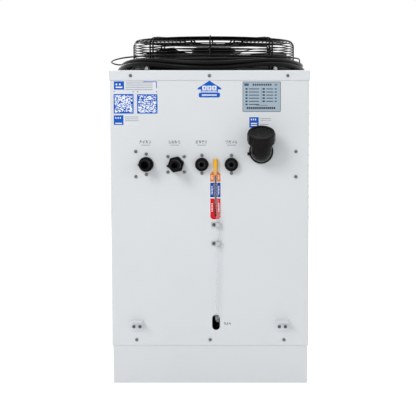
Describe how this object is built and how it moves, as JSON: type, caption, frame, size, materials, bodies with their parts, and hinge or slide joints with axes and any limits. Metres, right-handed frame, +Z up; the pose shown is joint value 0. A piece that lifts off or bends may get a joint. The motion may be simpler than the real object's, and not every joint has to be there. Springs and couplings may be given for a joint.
{
  "type": "recirculating chiller",
  "caption": "Upright recirculating water chiller with a top axial fan under a wire guard, rear water ports, a screw-capped filler, a level hose and a control panel",
  "frame": {"origin": "middle of the cabinet's base, on the floor", "axes": "+Z up; the service side with the water ports faces -Y; +X is to the right of a viewer who looks at that side"},
  "size_m": [0.517, 0.5927, 0.854],
  "materials": {
    "white_paint": "fine powder coat",
    "zinc_steel": "zinc plated",
    "black_wire": "black coated wire",
    "black_metal": "black coated sheet",
    "aluminium": "cast or finned",
    "bearing_steel": "ground",
    "black_plastic": "moulded nylon",
    "black_screw": "black oxide",
    "collet_plastic": "moulded",
    "yellow_plastic": "moulded",
    "clear_hose": "clear soft tube",
    "clip_nylon": "moulded",
    "seal_rubber": "moulded",
    "hose_rubber": "smooth",
    "tank_plastic": "moulded",
    "copper": "drawn copper tube",
    "fin_metal": "stacked fins",
    "grille_plastic": "moulded",
    "filter_fabric": "open mesh",
    "bezel_plastic": "moulded",
    "controller_plastic": "moulded",
    "key_plastic": "moulded",
    "rocker_plastic": "moulded",
    "cable_black": "smooth sheath"
  },
  "bodies": {
    "chiller": {"base_tray": "white_paint", "corner_posts": "zinc_steel", "rear_panel": "white_paint", "front_panel": "white_paint", "left_panel": "white_paint", "right_panel": "white_paint", "lid": "white_paint", "panel_screws": "zinc_steel", "fitting_screws": "black_screw", "fan_guard": "black_wire", "guard_bolts": "zinc_steel", "motor_stator": "aluminium", "motor_bearings": "bearing_steel", "outlet_port": "black_plastic", "outlet_nut": "black_plastic", "inlet_port": "black_plastic", "inlet_nut": "black_plastic", "push_port_out": "black_plastic", "push_port_in": "black_plastic", "filler_neck": "black_plastic", "level_hose": "clear_hose", "hose_clips": "clip_nylon", "drain_pipe": "black_plastic", "angle_brackets": "white_paint", "water_tank": "tank_plastic", "tank_brackets": "zinc_steel", "pumps": "black_plastic", "water_hoses": "hose_rubber", "compressor": "black_metal", "compressor_feet": "seal_rubber", "condenser": "fin_metal", "plate_exchanger": "zinc_steel", "copper_pipes": "copper", "filter_drier": "copper", "electrical_box": "zinc_steel", "intake_grille": "grille_plastic", "dust_filter": "filter_fabric", "control_bezel": "bezel_plastic", "controller": "controller_plastic", "switch_housing": "controller_plastic", "power_gland": "black_plastic", "power_coil": "cable_black", "power_lead": "cable_black", "power_tail": "cable_black", "power_plug": "cable_black", "signal_gland": "black_plastic", "signal_cable": "cable_black", "signal_connector": "black_plastic"},
    "fan": {"rotor_can": "black_metal", "fan_impeller": "black_metal"},
    "cap_seal": {"cap_seal": "seal_rubber"},
    "filler_cap": {"filler_cap": "black_plastic"},
    "hose_stopper": {"hose_stopper": "yellow_plastic"},
    "collet_out": {"collet_out": "collet_plastic"},
    "collet_in": {"collet_in": "collet_plastic"},
    "power_rocker": {"power_rocker": "rocker_plastic"},
    "button_1": {"button_1": "key_plastic"},
    "button_2": {"button_2": "key_plastic"},
    "button_3": {"button_3": "key_plastic"},
    "button_4": {"button_4": "key_plastic"}
  },
  "joints": [
    {"name": "fan_spin", "type": "hinge", "parent": "chiller", "child": "fan", "pos_m": [0, 0, 0.8], "axis": [0, 0, 1], "continuous": true},
    {"name": "seal_lift", "type": "slide", "parent": "chiller", "child": "cap_seal", "axis": [0, -0.5, 0.866], "range_m": [0, 0.024]},
    {"name": "cap_turn", "type": "hinge", "parent": "cap_seal", "child": "filler_cap", "pos_m": [0.125, -0.278, 0.57], "axis": [0, -0.5, 0.866], "range_deg": [0, 1440]},
    {"name": "stopper_pull", "type": "slide", "parent": "chiller", "child": "hose_stopper", "axis": [0, 0, 1], "range_m": [0, 0.016]},
    {"name": "collet_press_out", "type": "slide", "parent": "chiller", "child": "collet_out", "axis": [0, 1, 0], "range_m": [0, 0.0015], "stiffness_N_per_m": 300},
    {"name": "collet_press_in", "type": "slide", "parent": "chiller", "child": "collet_in", "axis": [0, 1, 0], "range_m": [0, 0.0015], "stiffness_N_per_m": 300},
    {"name": "rocker_tip", "type": "hinge", "parent": "chiller", "child": "power_rocker", "pos_m": [0.072, 0.253, 0.69], "axis": [-1, 0, 0], "range_deg": [0, 20]},
    {"name": "button_1_press", "type": "slide", "parent": "chiller", "child": "button_1", "axis": [0, -1, 0], "range_m": [0, 0.0006], "stiffness_N_per_m": 300},
    {"name": "button_2_press", "type": "slide", "parent": "chiller", "child": "button_2", "axis": [0, -1, 0], "range_m": [0, 0.0006], "stiffness_N_per_m": 300},
    {"name": "button_3_press", "type": "slide", "parent": "chiller", "child": "button_3", "axis": [0, -1, 0], "range_m": [0, 0.0006], "stiffness_N_per_m": 300},
    {"name": "button_4_press", "type": "slide", "parent": "chiller", "child": "button_4", "axis": [0, -1, 0], "range_m": [0, 0.0006], "stiffness_N_per_m": 300}
  ],
  "couplings": [
    {"joint": "cap_turn", "follows": "seal_lift", "rad_per_m": 1047.2}
  ]
}
